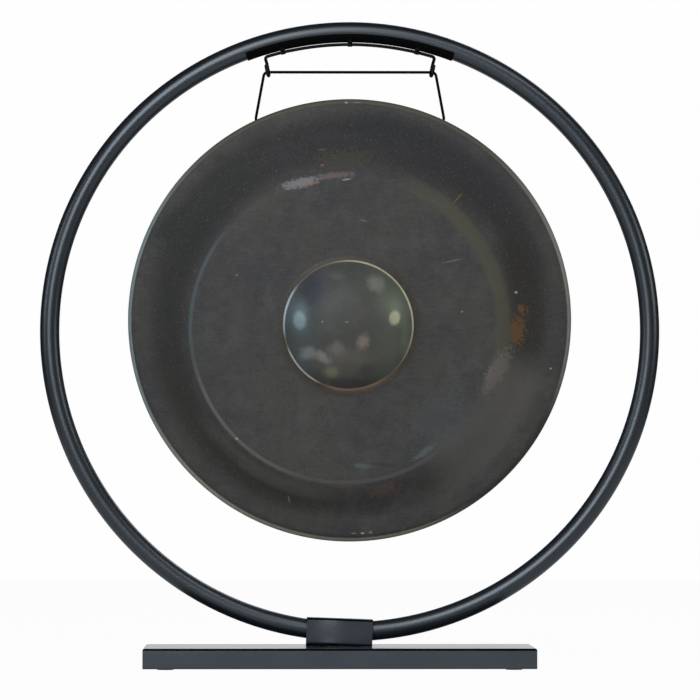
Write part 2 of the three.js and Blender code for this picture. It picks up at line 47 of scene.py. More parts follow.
view = {"place": (-0.0789, -5.2832, 0.1842), "target": (0.0001, 0, 0.3123), "lens": 275.97}
camera = bpy.data.objects.new("camera", bpy.data.cameras.new("camera"))
bpy.context.scene.collection.objects.link(camera)
camera.data.lens = view["lens"]
camera.location = view["place"]
toTarget = Vector(view["target"]) - Vector(view["place"])
camera.rotation_euler = toTarget.to_track_quat("-Z", "Y").to_euler()
bpy.context.scene.camera = camera
bpy.context.scene.view_settings.view_transform = "Standard"
print("camera placed")


# Grids and meshes

# Quads of a grid of rows by columns, and the grid place of each quad's corners.
def gridQuads(rows, columns, loopRows=False, loopColumns=False):
    i, j = np.meshgrid(
        np.arange(rows if loopRows else rows - 1),
        np.arange(columns if loopColumns else columns - 1),
        indexing="ij",
    )
    i, j = i.ravel(), j.ravel()
    corners = np.stack([np.stack([i, i + 1, i + 1, i]), np.stack([j, j, j + 1, j + 1])], axis=-1)
    corners = corners.transpose(1, 0, 2)
    quads = (corners[..., 0] % rows) * columns + corners[..., 1] % columns
    return quads, corners


# Equal points become one, and a quad with two equal corners becomes a triangle.
def welded(points, quads, uv):
    _, first, index = np.unique(np.round(points, 7), axis=0, return_index=True, return_inverse=True)
    used, quads = np.unique(index.reshape(-1)[quads], return_inverse=True)
    quads = quads.reshape(-1, 4)
    same = quads == np.roll(quads, -1, axis=1)
    whole = ~same.any(axis=1)
    thin = same.sum(axis=1) == 1
    triangles = quads[thin][~same[thin]].reshape(-1, 3)
    triangleUv = uv[thin][~same[thin]].reshape(-1, 3, 2)
    return points[first][used], quads[whole], triangles, uv[whole], triangleUv


# Six times the volume is the sum of a . (b x c) over the triangles.
def signedVolume(points, quads, triangles):
    fans = np.concatenate([quads[:, [0, 1, 2]], quads[:, [0, 2, 3]], triangles])
    a, b, c = points[fans[:, 0]], points[fans[:, 1]], points[fans[:, 2]]
    return np.einsum("ij,ij->", a, np.cross(b, c)) / 6


# Each piece and the slot of its material, in the order in which they are made
pieceSlots = []


# A mesh object from one or more grids, its faces turned outwards and its sharp edges kept.
def piece(name, grids, body, slot, stands, sharp=35, closed=True):
    allPoints, allQuads, allUv, start = [], [], [], 0
    for grid in grids:
        points = np.asarray(grid["points"], float)
        rows, columns = points.shape[:2]
        quads, corners = gridQuads(rows, columns, grid.get("loopRows", False), grid.get("loopColumns", False))
        along = np.append(grid.get("along", np.arange(rows)), 0)
        uv = np.stack([along[corners[..., 0]], corners[..., 1] / columns], axis=-1)
        if grid.get("flip"):
            quads, uv = quads[:, ::-1], uv[:, ::-1]
        if "keep" in grid:
            kept = grid["keep"].reshape(-1)
            quads, uv = quads[kept], uv[kept]
        allPoints.append(points.reshape(-1, 3))
        allQuads.append(quads + start)
        allUv.append(uv)
        start += rows * columns
    points, quads, triangles, quadUv, triangleUv = welded(
        np.concatenate(allPoints), np.concatenate(allQuads), np.concatenate(allUv)
    )
    if closed and signedVolume(points, quads, triangles) < 0:
        quads, triangles = quads[:, ::-1], triangles[:, ::-1]
        quadUv, triangleUv = quadUv[:, ::-1], triangleUv[:, ::-1]
    mesh = bpy.data.meshes.new(name)
    mesh.from_pydata(points.tolist(), [], quads.tolist() + triangles.tolist())
    layer = mesh.uv_layers.new(name="surface")
    flatUv = np.concatenate([quadUv.reshape(-1), triangleUv.reshape(-1)])
    layer.data.foreach_set("uv", flatUv.astype(np.float32))
    mesh.shade_smooth()
    mesh.set_sharp_from_angle(angle=math.radians(sharp))
    made = bpy.data.objects.new(name, mesh)
    bpy.context.scene.collection.objects.link(made)
    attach(made, body)
    if stands:
        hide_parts(*stands)
    pieceSlots.append((made, slot))
    return made


# Points from their three coordinates, each stretched to the shape of all.
def joined(x, y, z):
    return np.stack(np.broadcast_arrays(x, y, z), axis=-1)


# Points turned from axis a towards axis b, then moved: (a cos t - b sin t, a sin t + b cos t).
def turned(points, a, b, angle, place):
    made = np.array(points, float)
    made[..., a] = points[..., a] * math.cos(angle) - points[..., b] * math.sin(angle)
    made[..., b] = points[..., a] * math.sin(angle) + points[..., b] * math.cos(angle)
    return made + np.array(place)


# Vectors over their own length.
def unit(vectors):
    return vectors / np.linalg.norm(vectors, axis=-1, keepdims=True)


# The length along a path at each of its points.
def lengthsAlong(path):
    return np.append(0, np.cumsum(np.linalg.norm(np.diff(path, axis=0), axis=1)))


# The points of a path at given lengths along it.
def pointsAt(path, places):
    lengths = lengthsAlong(path)
    return np.stack([np.interp(places, lengths, path[:, k]) for k in range(3)], axis=1)


# Points at even steps along a path.
def evenly(path, spacing):
    length = lengthsAlong(path)[-1]
    return pointsAt(path, np.linspace(0, length, int(math.ceil(length / spacing)) + 1))


# Straight runs whose corners are rounded: on each arc the start point turns round the arc's centre.
def roundedRoute(corners, steps=14):
    route = [np.array([corners[0][0]])]
    for (before, _), (corner, radius), (after, _) in zip(corners, corners[1:], corners[2:]):
        back, ahead = unit(before - corner), unit(after - corner)
        half = math.acos(np.dot(back, ahead)) / 2
        centre = corner + unit(back + ahead) * radius / math.sin(half)
        start = corner + back * radius / math.tan(half) - centre
        axis = unit(np.cross(ahead, back))
        turns = np.linspace(0, math.pi - 2 * half, steps)[:, None]
        route.append(start * np.cos(turns) + np.cross(axis, start) * np.sin(turns) + centre)
    route.append(np.array([corners[-1][0]]))
    return np.concatenate(route)


# Even angles round a full turn, without its end.
def fullTurn(steps):
    return np.linspace(0, 2 * math.pi, steps, endpoint=False)


# The skin of a round tube: path + radius (cos a n + sin a b), where b is the tangent x n.
def tubeSkin(path, tangent, n, radii, sides):
    b = np.cross(tangent, n)
    angle = fullTurn(sides)[None, :, None]
    return path[:, None] + radii * (np.cos(angle) * n[:, None] + np.sin(angle) * b[:, None])


# A round tube along a path, its ends drawn in to half balls: at t from an end, sqrt(r^2 - (r - t)^2).
def tubeAlong(path, reference, radius, sides):
    lengths = lengthsAlong(path)
    tangent = unit(np.gradient(path, axis=0))
    n = unit(reference - tangent * np.sum(reference * tangent, axis=1, keepdims=True))
    toEnd = np.minimum(lengths, lengths[-1] - lengths)
    radii = np.sqrt(np.maximum(0, radius**2 - np.clip(radius - toEnd, 0, radius) ** 2))[:, None, None]
    return {"points": tubeSkin(path, tangent, n, radii, sides), "loopColumns": True, "along": lengths}


# A path with extra points near its two ends, for a tube's half balls.
def withEnds(path, radius, steps=6, reach=1.2):
    lengths = lengthsAlong(path)
    near = radius * (1 - np.cos(np.linspace(0, math.pi / 2, steps)))
    inner = lengths[(lengths > radius * reach) & (lengths < lengths[-1] - radius * reach)]
    return pointsAt(path, np.concatenate([near, inner, lengths[-1] - near[::-1]]))


# Cord: the same route as its solid, from one rim hole over both hooks to the other, with a knot at each end

hoop = {"centre": 0.3307688, "radius": 0.2955, "tube": 0.019050, "wall": 0.0015, "lean": 2.0, "endGap": 0.001,
        "steps": 480, "sides": 48}
gong = {"radius": 0.218775, "place": (0, -0.0131141, 0.3391938), "tilt": 4.903920, "wall": 0.002,
        "bossRadius": 0.0645, "bossHeight": 0.029, "bossFillet": 0.003, "bossFullness": 2.6,
        "bossOffset": (-0.0017, -0.0028), "shoulderOffset": (-0.005, -0.0068), "offsetFrom": 1.16,
        "fallStart": 0.147975, "fallEnd": 0.195275, "fallDrop": 0.013, "rimStart": 0.209775,
        "outerDrop": 0.003, "rimBend": 0.009, "rimDepth": 0.040, "rimDraw": 0.008, "holeAngle": 25,
        "holeInset": 0.005, "holeRadius": 0.0023}
cord = {"diameter": 0.0028, "line": 0.5862688, "halfSpan": 0.0808583, "past": 0.0035, "bend": 0.0044,
        "spacing": 0.0012, "sides": 14, "length": 0.2833, "knotSize": 0.0013, "knotCord": 0.0013,
        "knotLength": 0.028, "knotSteps": 120, "knotSides": 12, "knotReach": 9, "knotStandoff": 0.0030,
        "tail": 0.0045}

tilt = math.radians(gong["tilt"])


# From the gong's own frame to the world: turned about X by its tilt, then moved to its place.
def hung(points):
    return turned(points, 1, 2, tilt, gong["place"])


# From 0 at low to 1 at high, as 3 s^2 - 2 s^3 of the share s of the way.
def smoothStep(x, low, high):
    share = np.clip((x - low) / (high - low), 0, 1)
    return share * share * (3 - 2 * share)


# Depth of the gong's front at a radius: the fall and the outer slope, less the boss. The boss is a dome,
# h (1 - (r / R)^n), whose foot runs out in a small fillet.
def faceDepth(r):
    dome = gong["bossHeight"] * (1 - (r / gong["bossRadius"]) ** gong["bossFullness"])
    boss = (dome + np.sqrt(dome**2 + gong["bossFillet"] ** 2)) / 2
    slope = np.maximum(0, (r - gong["fallStart"]) / (gong["rimStart"] - gong["fallStart"]))
    fall = gong["fallDrop"] * smoothStep(r, gong["fallStart"], gong["fallEnd"])
    return fall + slope * gong["outerDrop"] - boss


# Where a rim hole lies in the gong's frame, half way through its wall.
rimEdge = float(faceDepth(np.array(gong["rimStart"])))
wallRun = gong["rimDepth"] - gong["rimBend"]
bendDepth = rimEdge + gong["rimBend"]
holeDepth = bendDepth + gong["holeInset"]
holeRadius = gong["radius"] - gong["holeInset"] / wallRun * gong["rimDraw"] - gong["wall"] / 2
holeTurns = np.radians([-gong["holeAngle"], gong["holeAngle"]])
holeOut = np.array([math.sin(holeTurns[0]), 0, math.cos(holeTurns[0])])
holePlace = holeOut * holeRadius + np.array([0, holeDepth, 0])
holeWorld = hung(holePlace)
outWorld = hung(holePlace + holeOut) - holeWorld

knotCentre = holeWorld - outWorld * (gong["wall"] / 2 + cord["knotStandoff"])
cordEnd = knotCentre - outWorld * cord["tail"]
mouth = holeWorld + outWorld * (gong["wall"] / 2 + cord["bend"] / 2)
overHook = np.array([-cord["halfSpan"] - cord["past"], 0, cord["line"]])
flip = np.array([-1, 1, 1])
cordRoute = roundedRoute([
    (cordEnd, 0), (mouth, cord["bend"]), (overHook, cord["bend"]),
    (overHook * flip, cord["bend"]), (mouth * flip, cord["bend"]), (cordEnd * flip, 0),
])
cordPath = withEnds(evenly(cordRoute, cord["spacing"]), cord["diameter"] / 2)
yAxis = np.array([0.0, 1.0, 0.0])
gongCord = piece(
    "gong_cord_braid", [tubeAlong(cordPath, yAxis, cord["diameter"] / 2, cord["sides"])],
    "gong", "cord_black", ["gong_cord"], sharp=80,
)


# An overhand knot as a closed trefoil: (sin t + 2 sin 2t, cos t - 2 cos 2t, -sin 3t), flat against the rim.
def knot(name, centre, out, side):
    t = fullTurn(cord["knotSteps"])
    local = joined(np.sin(t) + 2 * np.sin(2 * t), np.cos(t) - 2 * np.cos(2 * t), -np.sin(3 * t))
    across = unit(np.cross(out, yAxis))
    axes = np.stack([across, np.cross(across, out), out * side])
    path = centre + cord["knotSize"] * local @ axes
    loop = np.concatenate([path[-1:], path, path[:1]])
    tangent = unit(loop[2:] - loop[:-2])
    # The normal is square to the tangent here and to the one a few steps back
    n = unit(np.cross(tangent, np.roll(tangent, cord["knotReach"], axis=0)))
    points = tubeSkin(path, tangent, n, cord["knotCord"], cord["knotSides"])
    along = np.linspace(0, cord["knotLength"], cord["knotSteps"], endpoint=False)
    return piece(name, [{"points": points, "loopRows": True, "loopColumns": True, "along": along}],
                 "gong", "cord_black", [], sharp=80)


knotLeft = knot("gong_cord_knot_left", knotCentre, outWorld, 1)
knotRight = knot("gong_cord_knot_right", knotCentre * flip, outWorld * flip, -1)
print("cord made, length", round(float(lengthsAlong(cordPath)[-1]), 4))


# Hoop: a tube round a ring, out along its outside and back along its inside, so both ends stay open

lean = math.radians(hoop["lean"])


# From the ring's frame to the world: turned about Y, then lifted. Only the hoop and its sleeve lean.
def raised(points, angle=0):
    return turned(points, 2, 0, angle, (0, 0, hoop["centre"]))


# A point of the ring's section: (R + a) outwards along the ring's radius, and b along Y.
def ringPoints(angles, radial, depth):
    reach = hoop["radius"] + radial
    return joined(reach * np.sin(angles), depth, reach * np.cos(angles))


endAngle = math.pi - hoop["endGap"] / 2 / hoop["radius"]
outward = np.linspace(-endAngle, endAngle, hoop["steps"] + 1)
ringAngles = np.concatenate([outward, outward[::-1]])[:, None]
outer = hoop["tube"] / 2
sectionRadii = np.repeat([outer, outer - hoop["wall"]], hoop["steps"] + 1)[:, None]
roundTube = fullTurn(hoop["sides"])
hoopPoints = ringPoints(ringAngles, sectionRadii * np.cos(roundTube), sectionRadii * np.sin(roundTube))
piece("hoop", [{"points": raised(hoopPoints, lean), "loopRows": True, "loopColumns": True}],
      "stand", "powder_black", ["hoop_tube"])
print("hoop made")


# Sleeve: a rounded square carried along X, out along its outside and back along its inside

sleeve = {"length": 0.065, "side": 0.0254, "wall": 0.0012, "corner": 0.0024, "foot": -0.3080222,
          "edge": 0.0003, "cornerSteps": 9}


# A square with rounded corners, drawn anticlockwise.
def roundedSquare(half, radius):
    turn = np.linspace(0, math.pi / 2, sleeve["cornerSteps"]) + np.arange(4)[:, None] * math.pi / 2
    a = np.array([[1], [-1], [-1], [1]]) * (half - radius) + radius * np.cos(turn)
    b = np.array([[1], [1], [-1], [-1]]) * (half - radius) + radius * np.sin(turn)
    return a.ravel(), b.ravel()


end, edge, wall = sleeve["length"] / 2, sleeve["edge"], sleeve["wall"]
sleeveRows = [(-end, edge), (edge - end, 0), (end - edge, 0), (end, edge),
              (end, wall - edge / 2), (end - edge / 2, wall), (edge / 2 - end, wall), (-end, wall - edge / 2)]
half = sleeve["side"] / 2
sections = []
for x, inset in sleeveRows:
    a, b = roundedSquare(half - inset, sleeve["corner"] - inset)
    sections.append(joined(x, a, b + sleeve["foot"] + half))
piece("sleeve", [{"points": raised(np.stack(sections), lean), "loopRows": True, "loopColumns": True}],
      "stand", "powder_slate", ["hoop_sleeve"], sharp=50)
print("sleeve made")


# Base: one folded sheet. Its section runs from lip to lip over the top, and the ends are bent down

tray = {"length": 0.383, "depth": 0.150, "height": 0.020, "sheet": 0.0015, "bend": 0.002, "lip": 0.024,
        "middle": -0.0107498, "bottom": 0.0008, "bevel": 0.00035, "lipFlat": 0.008, "bendSteps": 9,
        "wallSteps": 5, "depthSteps": 31, "lengthSteps": 41, "bevelSteps": 2, "bevelAngle": 50}


# The sheet's section over X, its height held under the round of the two ends, and a flat plate at each end.
def traySkin():
    half, bend, high = tray["depth"] / 2, tray["bend"], tray["height"]
    turn = np.linspace(0, math.pi / 2, tray["bendSteps"])
    lipY = np.array([half - tray["lip"], half - bend - tray["lipFlat"]])
    lowY, lowZ = half - bend + bend * np.sin(turn), bend - bend * np.cos(turn)
    wallZ = np.linspace(bend, high - bend, tray["wallSteps"])[1:-1]
    highY, highZ = half - bend + bend * np.cos(turn), high - bend + bend * np.sin(turn)
    topY = np.linspace(half - bend, bend - half, tray["depthSteps"])[1:-1]
    sideY = np.concatenate([lipY, lowY, np.full_like(wallZ, half), highY])
    sideZ = np.concatenate([0 * lipY, lowZ, wallZ, highZ])
    y = np.concatenate([sideY, topY, -sideY[::-1]])
    z = np.concatenate([sideZ, np.full_like(topY, high), sideZ[::-1]])
    endX = tray["length"] / 2 - bend + bend * np.cos(turn)
    x = np.concatenate([-endX, np.linspace(-endX[-1], endX[-1], tray["lengthSteps"])[1:-1], endX[::-1]])
    over = np.clip(np.abs(x) - (tray["length"] / 2 - bend), 0, bend)
    ceiling = high - bend + np.sqrt(bend**2 - over**2)
    sheet = joined(x[:, None], y, np.minimum(z, ceiling[:, None]))
    # The end plate: rows up the wall, columns at the same places along the top as the sheet has
    rows = slice(len(lipY), len(lipY) + len(lowY) + len(wallZ) + 1)
    rowY, rowZ = sideY[rows], sideZ[rows]
    topRow = np.concatenate([highY, topY, -highY[::-1]]) / half
    plate = joined(tray["length"] / 2, rowY[:, None] * topRow, rowZ[:, None])
    place = np.array([tray["middle"], 0, tray["bottom"]])
    return sheet + place, plate + place, plate * flip + place


sheetGrid, rightPlate, leftPlate = traySkin()
baseTray = piece(
    "base",
    [{"points": sheetGrid, "flip": True}, {"points": rightPlate}, {"points": leftPlate, "flip": True}],
    "stand", "powder_slate", ["base_tray"], sharp=40, closed=False,
)
thick = baseTray.modifiers.new("thickness", "SOLIDIFY")
thick.thickness = tray["sheet"]
thick.offset = -1
thick.use_even_offset = True
soft = baseTray.modifiers.new("edges", "BEVEL")
soft.width = tray["bevel"]
soft.segments = tray["bevelSteps"]
soft.limit_method = "ANGLE"
soft.angle_limit = math.radians(tray["bevelAngle"])
print("base made")


# Hanger: the pad under the top of the hoop, and the coated wire that is bent to a hook at each end

hanger = {"padAngle": 20.624740, "padWrap": 71, "padIn": 0.009825, "padOut": 0.010625, "wireSpan": 0.282875,
          "wireEnd": 0.282975, "cornerAngle": 17.212200, "clipAngle": 13.470038, "clipWidth": 0.0045,
          "wireRise": 0.006, "cornerLead": 0.004, "cornerHeight": 0.0150791, "cornerBend": 0.0026,
          "shankBend": 0.006, "shankShare": 0.52, "tipShare": 0.51, "hookTurn": 12, "hookLean": 11,
          "hookClearance": 0.0007, "wireRadius": 0.0016, "wireSides": 18, "wireSpacing": 0.0006,
          "drop": 0.040, "sideTurn": 0.2702, "sideBlend": 0.005, "padSteps": 41, "padEdgeSteps": 5,
          "padLengthSteps": 121, "arcSteps": 120}


# A thin section with round edges, wrapped round the tube's underside and carried along the ring.
def hangerPad():
    wrap, half = math.radians(hanger["padWrap"]), math.radians(hanger["padAngle"])
    over = np.linspace(-wrap, wrap, hanger["padSteps"])
    edgeTurn = np.linspace(0, math.pi, hanger["padEdgeSteps"] + 2)[1:-1]
    middle = (hanger["padOut"] + hanger["padIn"]) / 2
    thin = (hanger["padOut"] - hanger["padIn"]) / 2
    bulge = wrap + np.sin(edgeTurn) * thin / middle
    turn = np.concatenate([over, bulge, over[::-1], -bulge])
    reach = np.concatenate([np.full_like(over, hanger["padOut"]), middle + thin * np.cos(edgeTurn),
                            np.full_like(over, hanger["padIn"]), middle - thin * np.cos(edgeTurn)])
    angles = np.linspace(-half, half, hanger["padLengthSteps"])[:, None]
    body = ringPoints(angles, -reach * np.cos(turn), reach * np.sin(turn))
    # The ends are closed by drawing their section in to its own middle line
    inner = np.clip(turn, -wrap, wrap)
    line = ringPoints(angles[[0, -1]], -middle * np.cos(inner), middle * np.sin(inner))
    return raised(np.concatenate([line[:1], body, line[1:]]))


piece("hanger_strip", [{"points": hangerPad(), "loopColumns": True}], "stand", "rubber_black",
      ["hanger_pad"])


# The wire's centreline, from its middle to the tip of the left hook, as its solid has it.
def wireRoute():
    clip, corner = np.radians(hanger["clipAngle"]), math.radians(hanger["cornerAngle"])
    riseEnd = clip - hanger["clipWidth"] / hoop["radius"]
    lastAngle = corner - hanger["cornerLead"] / hoop["radius"]
    angle = np.linspace(0, lastAngle, hanger["arcSteps"])
    rise = smoothStep(angle, riseEnd - hanger["wireRise"] / hoop["radius"], riseEnd)
    ring = hanger["wireSpan"] + (hanger["wireEnd"] - hanger["wireSpan"]) * rise
    arc = joined(-ring * np.sin(angle), 0, ring * np.cos(angle))
    turn, tip = math.radians(hanger["hookTurn"]), math.radians(hanger["hookLean"])
    behind = np.array([math.sin(turn), math.cos(turn), 0])
    up = np.array([-math.sin(tip), 0, math.cos(tip)])
    eye = np.array([-cord["halfSpan"], 0, hoop["radius"] - hanger["drop"]])
    bight = cord["diameter"] / 2 + hanger["hookClearance"] + hanger["wireRadius"]
    high = hanger["cornerHeight"]
    hook = roundedRoute([
        (arc[-1], 0), (eye + up * high, hanger["cornerBend"]),
        (eye + behind * bight + up * high * hanger["shankShare"], hanger["shankBend"]),
        (eye + behind * bight - up * bight, bight), (eye - behind * bight - up * bight, bight),
        (eye - behind * bight + up * high * hanger["tipShare"], 0),
    ])
    left = np.concatenate([arc, hook[1:]])
    return raised(np.concatenate([left[::-1] * flip, left[1:]])[::-1])


hangerLine = withEnds(evenly(wireRoute(), hanger["wireSpacing"]), hanger["wireRadius"])
# The tube's first side faces along Y on the arc and along X round the hooks, and so never along the wire
hooked = smoothStep(hoop["centre"] + hanger["sideTurn"] - hangerLine[:, 2:], 0, hanger["sideBlend"])
sideOn = unit(yAxis * (1 - hooked) + np.array([1.0, 0, 0]) * hooked)
wireTube = tubeAlong(hangerLine, sideOn, hanger["wireRadius"], hanger["wireSides"])
piece("hanger_wire_coated", [wireTube], "stand", "wire_black", ["hanger_wire"], sharp=80)
print("hanger made")


# Gong: its profile turned round its middle, out over the front, over the back edge and in along the inside

gongGrid = {"turns": 360, "bossRings": 46, "bossReach": 1.2, "plateauRings": 16, "fallRings": 26,
            "slopeRings": 6, "bendRings": 10, "edgeRings": 5, "wallLeast": 0.001,
            "wallPlaces": (0.0155, 0.0186, 0.0217, 0.0248, 0.0279), "holeMargin": 0.006, "holeBlend": 2.2,
            "holeSlack": 1e-6, "holeSteps": (-3.2, -2.3, -1.6, -1, -0.5, 0, 0.5, 1, 1.6, 2.3, 3.2)}


# The front as radii and depths from the middle to the back edge, with close rows round the holes.
def frontLine():
    bossEdge = gong["bossRadius"] * gongGrid["bossReach"]
    stations = [0, bossEdge, gong["fallStart"], gong["fallEnd"], gong["rimStart"]]
    rings = [gongGrid["bossRings"], gongGrid["plateauRings"], gongGrid["fallRings"], gongGrid["slopeRings"]]
    radii = np.concatenate([np.linspace(a, b, count, endpoint=False)
                            for a, b, count in zip(stations, stations[1:], rings)])
    turn = np.linspace(0, math.pi / 2, gongGrid["bendRings"])
    nearHole = gong["holeInset"] + gong["holeRadius"] * np.array(gongGrid["holeSteps"])
    places = np.concatenate([nearHole[nearHole > gongGrid["wallLeast"]], gongGrid["wallPlaces"], [wallRun]])
    r = np.concatenate([radii, gong["rimStart"] + gong["rimBend"] * np.sin(turn),
                        gong["radius"] - places / wallRun * gong["rimDraw"]])
    d = np.concatenate([faceDepth(radii), rimEdge + gong["rimBend"] * (1 - np.cos(turn)), bendDepth + places])
    return r, d


# The inside is the same line moved inwards by the wall, and a half circle joins the two at the back edge.
def gongLine():
    r, d = frontLine()
    dr, dd = np.gradient(r), np.gradient(d)
    length = np.hypot(dr, dd)
    dr, dd = dr / length, dd / length
    onWall = d > bendDepth + gongGrid["wallLeast"] / 2
    inR = np.where(onWall, r - gong["wall"] / np.maximum(dd, 0.5), r - gong["wall"] * dd)
    inD = np.where(onWall, d, d + gong["wall"] * dr)
    turn = np.linspace(0, math.pi, gongGrid["edgeRings"] + 2)[1:-1]
    half = (r[-1] - inR[-1]) / 2
    edgeR = inR[-1] + half + half * (np.cos(turn) + np.sin(turn) * dr[-1])
    edgeD = d[-1] + half * np.sin(turn) * dd[-1]
    inside = np.concatenate([np.zeros(len(r)), np.linspace(0, 1, gongGrid["edgeRings"]), np.ones(len(r))])
    return np.concatenate([r, edgeR, inR[::-1]]), np.concatenate([d, edgeD, inD[::-1]]), inside


# Angles round the gong: even ones, with finer steps round the two holes.
def gongTurns():
    even = np.linspace(-math.pi, math.pi, gongGrid["turns"], endpoint=False)
    step = gong["holeRadius"] / holeRadius
    near = holeTurns[:, None] + step * np.array(gongGrid["holeSteps"])
    reach = step * gongGrid["holeSteps"][-1] + gongGrid["holeMargin"]
    clear = np.min(np.abs(even[:, None] - holeTurns), axis=1) > reach
    return np.sort(np.concatenate([even[clear], near.ravel()]))


# How far the metal at a radius lies out of the middle.
def beatenOffset(r, axis):
    boss, shoulder = gong["bossOffset"][axis], gong["shoulderOffset"][axis]
    start = gong["bossRadius"] * gong["offsetFrom"]
    inner = boss + (shoulder - boss) * smoothStep(r, start, gong["fallStart"])
    outer = shoulder * (1 - smoothStep(r, gong["fallStart"], gong["rimStart"]))
    return np.where(r < gong["fallStart"], inner, outer)


# Hammer dents: bells of a depth and a width, taken off the front and the inside alike.
thousandth = 0.001
dents = thousandth * np.array([
    # x, z, width, depth in mm, from the middle of the boss
    [-12, -22, 10, 0.35], [-38, -28, 9, 0.3], [14, -16, 9, 0.35], [-15, -47, 11, 0.3], [29, 42, 10, 0.35],
    [-33, 33, 11, 0.3], [0, 18, 11, 0.25], [30, -40, 10, 0.25], [40, 12, 10, 0.3], [-45, 4, 9, 0.3],
    [10, 50, 9, 0.25], [-10, 48, 9, 0.2],
])


# Round each hole the grid's squares are drawn in to circles: (a, b) times max(|a|, |b|) / |(a, b)|.
def gongGrids():
    r, d, share = gongLine()
    turn = gongTurns()
    size = gong["holeRadius"]
    radius, depth, angle = np.broadcast_arrays(r[:, None], d[:, None], turn)
    inHole = []
    for hole in holeTurns:
        a, b = (turn[None, :] - hole) * holeRadius, d[:, None] - holeDepth
        reach = np.maximum(np.abs(a), np.abs(b))
        fade = 1 - smoothStep(reach, size, gongGrid["holeBlend"] * size)
        pull = fade * (reach / np.maximum(np.hypot(a, b), 1e-9) - 1)
        angle = angle + a * pull / holeRadius
        depth = depth + b * pull
        radius = radius - b * pull * gong["rimDraw"] / wallRun
        inHole.append(reach < size + gongGrid["holeSlack"])
    x, z = np.abs(radius) * np.sin(angle), np.abs(radius) * np.cos(angle)
    away = np.stack([x, z], axis=-1)[..., None, :] - np.array(gong["bossOffset"]) - dents[:, :2]
    bells = np.sum(dents[:, 3] * np.exp(-np.sum(away**2, axis=-1) / dents[:, 2] ** 2), axis=-1)
    x = x + beatenOffset(np.abs(r), 0)[:, None]
    z = z + beatenOffset(np.abs(r), 1)[:, None]
    points = hung(joined(x, depth + bells, z))
    keep = np.ones((len(r) - 1, len(turn)), bool)
    grids = [{"points": points, "loopColumns": True, "along": share, "keep": keep}]
    for inside in inHole:
        edges = inside[:-1] & inside[1:]
        keep &= ~(edges & np.roll(edges, -1, axis=1))
        rows, columns = np.nonzero(inside.any(axis=1))[0], np.nonzero(inside.any(axis=0))[0]
        top, low, left, right = rows[0], rows[len(rows) // 2 - 1], columns[0], columns[-1]
        across, down = right - left, low - top
        loopRows = np.r_[[top] * across, top:low, [low] * across, low:top:-1]
        loopColumns = np.r_[left:right, [right] * down, right:left:-1, [left] * down]
        last = len(r) - 1
        sleeveWall = np.stack([points[loopRows, loopColumns], points[last - loopRows, loopColumns]])
        grids.append({"points": sleeveWall, "loopColumns": True})
    return grids


piece("gong_shell", gongGrids(), "gong", "dark_bronze", ["gong"])
print("gong made")


# Shader expressions

class Link:
    # A socket in an expression, where each operator and its reflected form add a Math node
    def __init__(self, graph, socket):
        self.graph = graph
        self.socket = socket

    # Another output of the same node
    def output(self, name):
        return Link(self.graph, self.socket.node.outputs[name])

    def math(self, operation, other=0.0, flipped=False):
        pair = (other, self) if flipped else (self, other)
        return self.graph.node("Math", {"operation": operation}, dict(enumerate(pair)))

    def __add__(self, other):
        return self.math("ADD", other)

    def __sub__(self, other):
        return self.math("SUBTRACT", other)

    def __rsub__(self, other):
        return self.math("SUBTRACT", other, True)

    def __mul__(self, other):
        return self.math("MULTIPLY", other)

    def __truediv__(self, other):
        return self.math("DIVIDE", other)

    def __rtruediv__(self, other):
        return self.math("DIVIDE", other, True)

    __radd__ = __add__
    __rmul__ = __mul__


class Graph:
    def __init__(self, name, sockets):
        self.material = bpy.data.materials.new(name)
        self.material.use_nodes = True
        self.tree = self.material.node_tree
        self.shader = self.tree.nodes["Principled BSDF"]
        self.paint(sockets)

    def set(self, socket, value):
        if isinstance(value, Link):
            self.tree.links.new(value.socket, socket)
        elif isinstance(value, tuple) and socket.type == "RGBA":
            socket.default_value = (*value[:3], 1)
        else:
            socket.default_value = value

    # Values or links for the shader's own sockets
    def paint(self, sockets):
        for name, value in sockets.items():
            self.set(self.shader.inputs[name], value)
        return self.material

    # Any node: its kind, its settings first, then its sockets' values or links
    def node(self, kind, settings=None, sockets=None, output=0):
        made = self.tree.nodes.new("ShaderNode" + kind)
        for name, value in (settings or {}).items():
            setattr(made, name, value)
        for name, value in (sockets or {}).items():
            self.set(made.inputs[name], value)
        return Link(self, made.outputs[output])

    def place(self):
        return self.node("TexCoord", {}, {}, "Object")

    # A piece's own coordinates: along it, and around it
    def surface(self):
        return self.node("UVMap", {"uv_map": "surface"})

    def parts(self, vector):
        first = self.node("SeparateXYZ", {}, {0: vector})
        return first, first.output(1), first.output(2)

    # Lengths and dot products come out of the node's second socket
    def vector(self, operation, *values):
        output = 1 if operation in ("LENGTH", "DOT_PRODUCT") else 0
        return self.node("VectorMath", {"operation": operation}, dict(enumerate(values)), output)

    def noise(self, place, scale, detail=4.0, roughness=0.55, distortion=0.0):
        return self.node("TexNoise", {}, {"Vector": place, "Scale": scale, "Detail": detail,
                                          "Roughness": roughness, "Distortion": distortion})

    # A value taken from one range to 0 and 1, smoothly
    def step(self, value, low, high):
        return self.node("MapRange", {"interpolation_type": "SMOOTHSTEP"},
                         {"Value": value, "From Min": low, "From Max": high})

    def mix(self, factor, first, second):
        return self.node("Mix", {"data_type": "RGBA"}, {0: factor, 6: first, 7: second}, 2)

    def bump(self, height, distance):
        return self.node("Bump", {}, {"Height": height, "Distance": distance, "Strength": 1.0})


# Powder coat: its colour and its roughness wander a little on one broad noise
def wandering(graph, place, values, low, high):
    broad = graph.noise(place, values["broad"], 3.0, 0.6)
    colour = graph.mix(graph.step(broad, 0.3, 0.7), low, high)
    return colour, values["roughness"] + (broad - 0.5) * values["roughSpread"]


